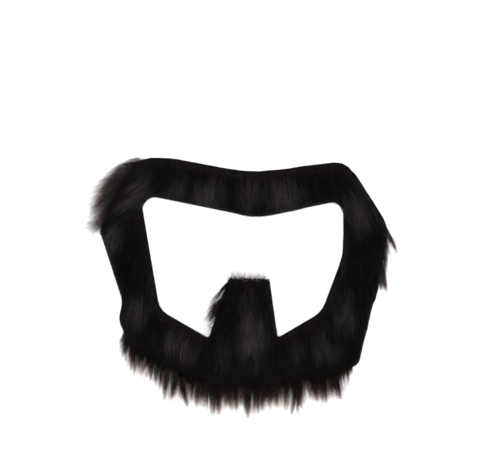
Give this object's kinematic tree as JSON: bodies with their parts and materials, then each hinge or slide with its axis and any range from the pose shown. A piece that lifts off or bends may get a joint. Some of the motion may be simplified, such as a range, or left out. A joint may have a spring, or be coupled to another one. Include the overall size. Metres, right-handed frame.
{
  "type": "fake moustache",
  "caption": "Stick-on costume moustache of long black fur: a ring round the mouth with a fringed chin beard and a soul patch, on a fabric backing with an adhesive layer.",
  "frame": {"origin": "middle of the outer box, on the face that sticks to the skin", "axes": "+Z out of the fur, away from the skin; +Y towards the nose; +X to the right as seen from the fur side"},
  "size_m": [0.1344, 0.1184, 0.0078],
  "materials": {
    "adhesive": "satin film",
    "backing": "fine black knit",
    "fur": "long black pile, combed down"
  },
  "bodies": {
    "root": {"adhesive_layer": "adhesive", "fabric_backing": "backing", "moustache_fur": "fur", "left_side_fur": "fur", "right_side_fur": "fur", "chin_fur": "fur", "soul_patch_fur": "fur"}
  },
  "joints": []
}
